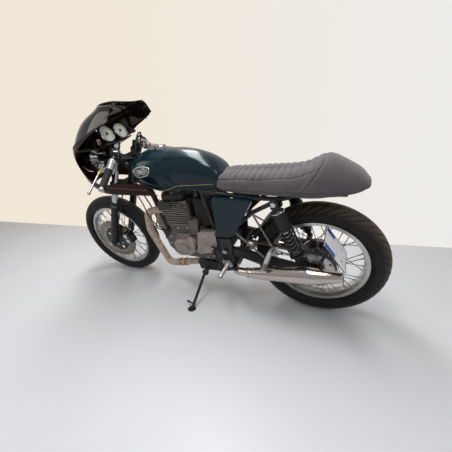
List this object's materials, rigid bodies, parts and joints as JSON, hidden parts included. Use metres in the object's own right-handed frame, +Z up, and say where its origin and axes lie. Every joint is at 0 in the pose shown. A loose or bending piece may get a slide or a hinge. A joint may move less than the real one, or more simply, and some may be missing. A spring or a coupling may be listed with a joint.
{
  "type": "cafe racer motorcycle",
  "caption": "Two-wheeled cafe racer motorcycle with half fairing, humped seat and one-cylinder engine, parked leaning on its side stand.",
  "frame": {"origin": "on the ground, at the middle of the bounding box in plan", "axes": "+X towards the front of the motorcycle, +Y to the rider's left, the side it leans to, +Z up"},
  "size_m": [2.0583, 0.7206, 1.1914],
  "materials": {
    "black_frame": "gloss",
    "black_plastic": "matte",
    "engine_grey": "satin",
    "deep_teal": "gloss",
    "smoke": "gloss",
    "suede": "suede",
    "wrap": "woven",
    "bright_metal": "polished",
    "alloy": "satin",
    "steel": "brushed",
    "disc_black": "satin",
    "tyre_rubber": "matte",
    "white_plate": "gloss"
  },
  "bodies": {
    "chassis": {"airbox": "black_plastic", "carburettor": "engine_grey", "chain": "steel", "clocks": "black_plastic", "collector": "black_frame", "crankcase": "engine_grey", "cylinder": "engine_grey", "cylinder_head": "engine_grey", "engine_covers": "engine_grey", "fairing": "deep_teal", "fairing_stay": "black_frame", "filler_neck": "bright_metal", "foot_controls": "black_frame", "foot_pegs": "bright_metal", "fuel_tank": "deep_teal", "headers": "wrap", "headlamp": "bright_metal", "main_frame": "black_frame", "number_plate": "white_plate", "pillion_pegs": "bright_metal", "pivot_plates": "black_frame", "plate_bracket": "black_frame", "rear_axle": "bright_metal", "rear_brake_plate": "black_frame", "rear_rails": "black_frame", "screen": "smoke", "seat": "suede", "seat_pan": "black_frame", "shocks": "black_frame", "side_covers": "deep_teal", "silencer_left": "bright_metal", "silencer_right": "bright_metal", "springs": "black_frame", "sprocket_cover": "engine_grey", "stand_bracket": "black_frame", "swingarm": "black_frame"},
    "steering": {"yokes": "black_frame", "stanchions": "bright_metal", "sliders": "black_frame", "front_axle": "bright_metal", "caliper": "alloy", "clip_ons": "black_frame", "grips": "tyre_rubber", "perches": "bright_metal", "levers": "bright_metal"},
    "front_wheel": {"front_tyre": "tyre_rubber", "front_rim": "alloy", "front_hub_spokes": "bright_metal", "front_disc": "steel", "front_disc_carrier": "disc_black"},
    "rear_wheel": {"rear_tyre": "tyre_rubber", "rear_rim": "alloy", "rear_hub_spokes": "bright_metal", "rear_sprocket": "alloy"},
    "side_stand": {"side_stand": "black_frame"},
    "filler_cap": {"filler_cap": "bright_metal"}
  },
  "joints": [
    {"name": "steering_turn", "type": "hinge", "parent": "chassis", "child": "steering", "pos_m": [0.40259, -0.00538, 0.78712], "axis": [-0.456, 0.1718, 0.8732], "range_deg": [-30.63, 21.37]},
    {"name": "front_wheel_spin", "type": "hinge", "parent": "steering", "child": "front_wheel", "pos_m": [0.70853, -0.09433, 0.31305], "axis": [-0.0718, 0.9709, -0.2285], "continuous": true},
    {"name": "rear_wheel_spin", "type": "hinge", "parent": "chassis", "child": "rear_wheel", "pos_m": [-0.7, -0.0962, 0.3255], "axis": [0, 0.9812, -0.193], "continuous": true},
    {"name": "side_stand_fold", "type": "hinge", "parent": "chassis", "child": "side_stand", "pos_m": [-0.055, -0.00111, 0.17684], "axis": [0, 0.7637, 0.6456], "range_deg": [0, 95]},
    {"name": "filler_cap_lift", "type": "hinge", "parent": "chassis", "child": "filler_cap", "pos_m": [0.176, 0.02483, 0.9407], "axis": [0, 0.9812, -0.193], "range_deg": [0, 100]}
  ]
}
